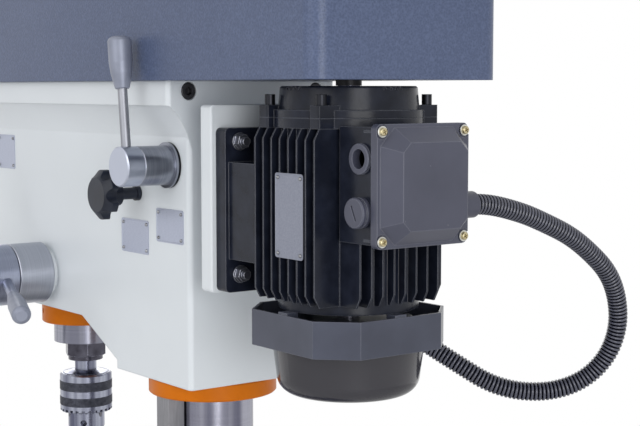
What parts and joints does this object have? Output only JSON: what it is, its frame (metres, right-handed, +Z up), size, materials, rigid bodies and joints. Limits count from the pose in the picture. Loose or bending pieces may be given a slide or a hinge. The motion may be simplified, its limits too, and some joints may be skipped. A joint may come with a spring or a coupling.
{
  "type": "bench drill",
  "caption": "Bench drill with a belt-driven spindle, quill feed handles, key chuck, hooded pulley drive, sliding motor, ground column, rack-lifted tilting table and slotted base.",
  "frame": {"origin": "on the column's axis, in the plane of the base's underside", "axes": "+Z up along the column, +X to the operator's right, +Y to the rear, where the motor is"},
  "size_m": [0.4705, 0.749, 1.16],
  "materials": {
    "head_paint": "satin off-white enamel",
    "cover_paint": "hammered blue-grey enamel",
    "base_paint": "hammered blue-grey enamel",
    "collar_paint": "orange enamel",
    "machined_iron": "ground face",
    "ground_steel": "ground, lightly oiled",
    "rack_steel": "milled",
    "bright_steel": "turned",
    "chuck_steel": "turned and knurled",
    "black_steel": "blackened",
    "fastener_steel": "zinc plated",
    "motor_paint": "dark grey enamel",
    "box_plastic": "moulded grey",
    "cowl_paint": "dark grey enamel",
    "grip_plastic": "moulded light grey",
    "dark_plastic": "moulded black",
    "conduit_plastic": "corrugated grey",
    "pulley_aluminium": "turned",
    "belt_rubber": "moulded",
    "spring_steel": "blued strip",
    "winding": "varnished winding on laminations",
    "green_plastic": "moulded green",
    "red_plastic": "moulded red"
  },
  "bodies": {
    "frame": {"base": "base_paint", "column_socket": "base_paint", "socket_bolts": "fastener_steel", "column": "ground_steel", "rack_collar": "collar_paint", "head_casting": "head_paint", "belt_pan": "cover_paint", "switch_box": "dark_plastic", "conduit": "conduit_plastic", "lower_gland": "dark_plastic", "spring_housing": "bright_steel", "return_spring": "spring_steel", "drive_bearings": "bright_steel", "v_belts": "belt_rubber"},
    "cover": {"belt_cover": "cover_paint"},
    "quill": {"quill": "ground_steel", "stop_collar": "collar_paint", "quill_bearings": "bright_steel"},
    "spindle": {"spindle": "ground_steel", "spindle_nut": "black_steel", "chuck_body": "chuck_steel"},
    "sleeve": {"chuck_sleeve": "chuck_steel"},
    "jaw_a": {"chuck_jaw_a": "ground_steel"},
    "jaw_b": {"chuck_jaw_b": "ground_steel"},
    "jaw_c": {"chuck_jaw_c": "ground_steel"},
    "feed": {"feed_shaft": "ground_steel", "feed_hub": "bright_steel", "feed_spokes": "bright_steel", "feed_handles": "grip_plastic"},
    "depth": {"depth_ring": "bright_steel"},
    "drive": {"spindle_pulley": "pulley_aluminium"},
    "idler_arm": {"idler_arm": "black_steel"},
    "idler": {"idler_pulley": "pulley_aluminium"},
    "motor": {"motor_plate": "head_paint", "slide_bars": "ground_steel", "motor_bolts": "fastener_steel", "motor_housing": "motor_paint", "end_shield": "motor_paint", "fan_cowl": "cowl_paint", "terminal_box": "motor_paint", "terminal_cover": "box_plastic", "box_glands": "dark_plastic", "stator": "winding", "motor_bearings": "bright_steel"},
    "rotor": {"rotor": "ground_steel", "motor_fan": "dark_plastic", "motor_pulley": "pulley_aluminium"},
    "tension": {"tension_hub": "bright_steel", "tension_lever": "bright_steel", "tension_grip": "grip_plastic"},
    "lock": {"lock_knob": "dark_plastic"},
    "rack": {"column_rack": "rack_steel"},
    "bracket": {"table_bracket": "base_paint", "tilt_bolt": "fastener_steel"},
    "crank": {"lift_crank": "black_steel"},
    "crank_grip": {"crank_grip": "dark_plastic"},
    "clamp": {"bracket_clamp": "bright_steel"},
    "table": {"table": "machined_iron"},
    "start": {"start_button": "green_plastic"},
    "stop": {"stop_button": "red_plastic"}
  },
  "joints": [
    {"name": "cover_hinge", "type": "hinge", "parent": "frame", "child": "cover", "pos_m": [-0.11, 0, 1.0155], "axis": [0, -1, 0], "range_deg": [0, 100]},
    {"name": "quill_feed", "type": "slide", "parent": "frame", "child": "quill", "axis": [0, 0, 1], "range_m": [-0.085, 0], "stiffness_N_per_m": 600, "springref_m": 0.15},
    {"name": "feed_turn", "type": "hinge", "parent": "frame", "child": "feed", "pos_m": [0, -0.2285, 0.805], "axis": [1, 0, 0], "range_deg": [-1, 444], "deforming": ["return_spring"]},
    {"name": "depth_ring_turn", "type": "hinge", "parent": "feed", "child": "depth", "pos_m": [0.09, -0.2285, 0.805], "axis": [1, 0, 0], "range_deg": [-180, 180]},
    {"name": "spindle_turn", "type": "hinge", "parent": "quill", "child": "spindle", "pos_m": [0, -0.267, 0.8], "axis": [0, 0, 1], "continuous": true},
    {"name": "chuck_sleeve_turn", "type": "hinge", "parent": "spindle", "child": "sleeve", "pos_m": [0, -0.267, 0.65], "axis": [0, 0, 1], "range_deg": [-360, 360]},
    {"name": "jaw_a_slide", "type": "slide", "parent": "spindle", "child": "jaw_a", "axis": [-0.1011, 0.2382, 0.9659], "range_m": [-0.0101, 0.0101]},
    {"name": "jaw_b_slide", "type": "slide", "parent": "spindle", "child": "jaw_b", "axis": [-0.1558, -0.2067, 0.9659], "range_m": [-0.0101, 0.0101]},
    {"name": "jaw_c_slide", "type": "slide", "parent": "spindle", "child": "jaw_c", "axis": [0.2569, -0.0315, 0.9659], "range_m": [-0.0101, 0.0101]},
    {"name": "drive_turn", "type": "hinge", "parent": "frame", "child": "drive", "pos_m": [0, -0.267, 1.01], "axis": [0, 0, 1], "continuous": true},
    {"name": "idler_swing", "type": "hinge", "parent": "frame", "child": "idler_arm", "pos_m": [0, 0.051, 1.01], "axis": [0, 0, 1], "range_deg": [-8, 8], "deforming": ["v_belts"]},
    {"name": "idler_turn", "type": "hinge", "parent": "idler_arm", "child": "idler", "pos_m": [0, -0.03, 1.06], "axis": [0, 0, 1], "continuous": true},
    {"name": "motor_slide", "type": "slide", "parent": "frame", "child": "motor", "axis": [0, 1, 0], "range_m": [-0.025, 0], "deforming": ["conduit", "v_belts"]},
    {"name": "motor_turn", "type": "hinge", "parent": "motor", "child": "rotor", "pos_m": [0, 0.217, 1.01], "axis": [0, 0, 1], "continuous": true},
    {"name": "tension_turn", "type": "hinge", "parent": "frame", "child": "tension", "pos_m": [0.08, 0.03, 0.9315], "axis": [1, 0, 0], "range_deg": [-72, 0.5]},
    {"name": "lock_turn", "type": "hinge", "parent": "frame", "child": "lock", "pos_m": [0.1, -0.028, 0.902], "axis": [1, 0, 0], "range_deg": [-180, 180]},
    {"name": "rack_swing", "type": "hinge", "parent": "frame", "child": "rack", "pos_m": [0, 0, 0.3], "axis": [0, 0, 1], "range_deg": [-180, 180]},
    {"name": "table_lift", "type": "slide", "parent": "rack", "child": "bracket", "axis": [0, 0, 1], "range_m": [-0.1, 0.1]},
    {"name": "crank_turn", "type": "hinge", "parent": "bracket", "child": "crank", "pos_m": [0.1, -0.026, 0.292], "axis": [1, 0, 0], "range_deg": [-328, 328]},
    {"name": "crank_grip_turn", "type": "hinge", "parent": "crank", "child": "crank_grip", "pos_m": [0.14, -0.026, 0.222], "axis": [1, 0, 0], "continuous": true},
    {"name": "clamp_turn", "type": "hinge", "parent": "bracket", "child": "clamp", "pos_m": [-0.079, 0.02, 0.292], "axis": [0, 1, 0], "range_deg": [-50, 50]},
    {"name": "table_tilt", "type": "hinge", "parent": "bracket", "child": "table", "pos_m": [0, -0.12, 0.292], "axis": [0, 1, 0], "range_deg": [-45, 45]},
    {"name": "start_press", "type": "slide", "parent": "frame", "child": "start", "axis": [0, 1, 0], "range_m": [0, 0.004], "stiffness_N_per_m": 600, "springref_m": -0.002},
    {"name": "stop_press", "type": "slide", "parent": "frame", "child": "stop", "axis": [0, 1, 0], "range_m": [0, 0.004], "stiffness_N_per_m": 600, "springref_m": -0.002}
  ],
  "couplings": [
    {"joint": "feed_turn", "follows": "quill_feed", "rad_per_m": -90.909},
    {"joint": "tension_turn", "follows": "motor_slide", "rad_per_m": 50},
    {"joint": "crank_turn", "follows": "table_lift", "rad_per_m": -57.143},
    {"joint": "spindle_turn", "follows": "motor_turn", "ratio": 0.93443},
    {"joint": "drive_turn", "follows": "motor_turn", "ratio": 0.93443},
    {"joint": "idler_turn", "follows": "motor_turn", "ratio": 1},
    {"joint": "jaw_a_slide", "follows": "chuck_sleeve_turn", "m_per_rad": 0.00159},
    {"joint": "jaw_b_slide", "follows": "chuck_sleeve_turn", "m_per_rad": 0.00159},
    {"joint": "jaw_c_slide", "follows": "chuck_sleeve_turn", "m_per_rad": 0.00159}
  ]
}
